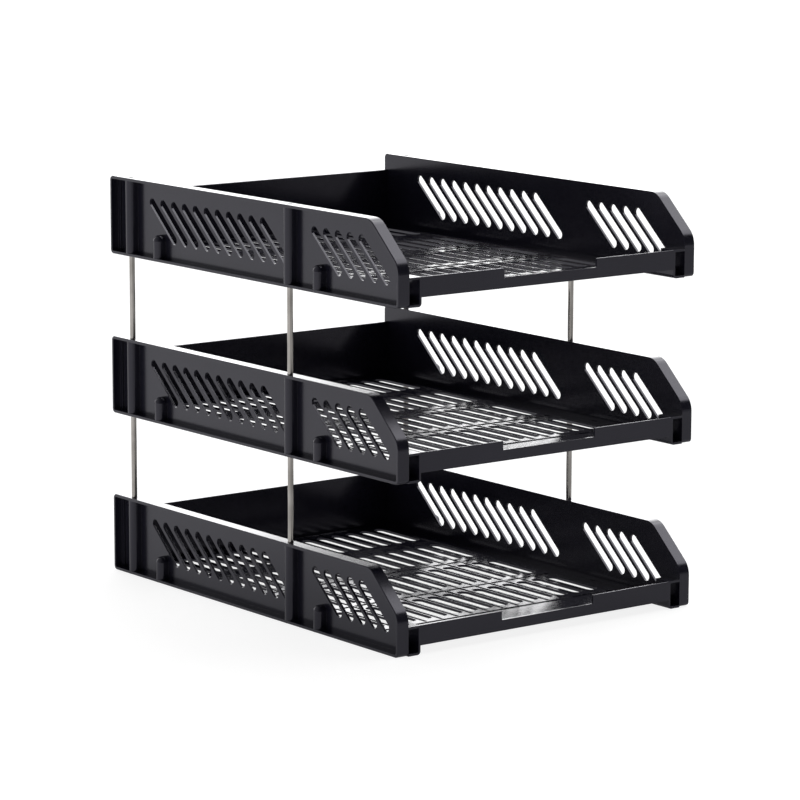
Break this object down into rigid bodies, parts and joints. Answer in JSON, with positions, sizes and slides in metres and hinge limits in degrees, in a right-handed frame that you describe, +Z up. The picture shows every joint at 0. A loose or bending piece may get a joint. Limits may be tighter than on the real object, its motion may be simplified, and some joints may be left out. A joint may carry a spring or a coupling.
{
  "type": "letter tray",
  "caption": "Stacking desk letter tray: slotted plastic trays with slatted sides, notched front lips and low backs, held one above another on slender steel rods.",
  "frame": {"origin": "centre of the footprint, on the surface the lowest tray stands on", "axes": "+X to the right seen from the open front, +Y to the back, +Z up; the open front with the lips faces -Y"},
  "size_m": [0.256, 0.34, 0.288],
  "materials": {
    "moulded_plastic": "semi-gloss black injection-moulded polystyrene",
    "rod_steel": "bright nickel-plated drawn steel rod"
  },
  "bodies": {
    "lower_tier": {"lower_side_left": "moulded_plastic", "lower_side_right": "moulded_plastic", "lower_floor": "moulded_plastic", "lower_back": "moulded_plastic", "lower_rod_front_left": "rod_steel", "lower_rod_front_right": "rod_steel", "lower_rod_rear_left": "rod_steel", "lower_rod_rear_right": "rod_steel"},
    "middle_tier": {"middle_side_left": "moulded_plastic", "middle_side_right": "moulded_plastic", "middle_floor": "moulded_plastic", "middle_back": "moulded_plastic", "middle_rod_front_left": "rod_steel", "middle_rod_front_right": "rod_steel", "middle_rod_rear_left": "rod_steel", "middle_rod_rear_right": "rod_steel"},
    "top_tier": {"top_side_left": "moulded_plastic", "top_side_right": "moulded_plastic", "top_floor": "moulded_plastic", "top_back": "moulded_plastic"}
  },
  "joints": [
    {"name": "middle_tray_lift", "type": "slide", "parent": "lower_tier", "child": "middle_tier", "axis": [0, 0, 1], "range_m": [0, 0.025]},
    {"name": "top_tray_lift", "type": "slide", "parent": "middle_tier", "child": "top_tier", "axis": [0, 0, 1], "range_m": [0, 0.025]}
  ]
}
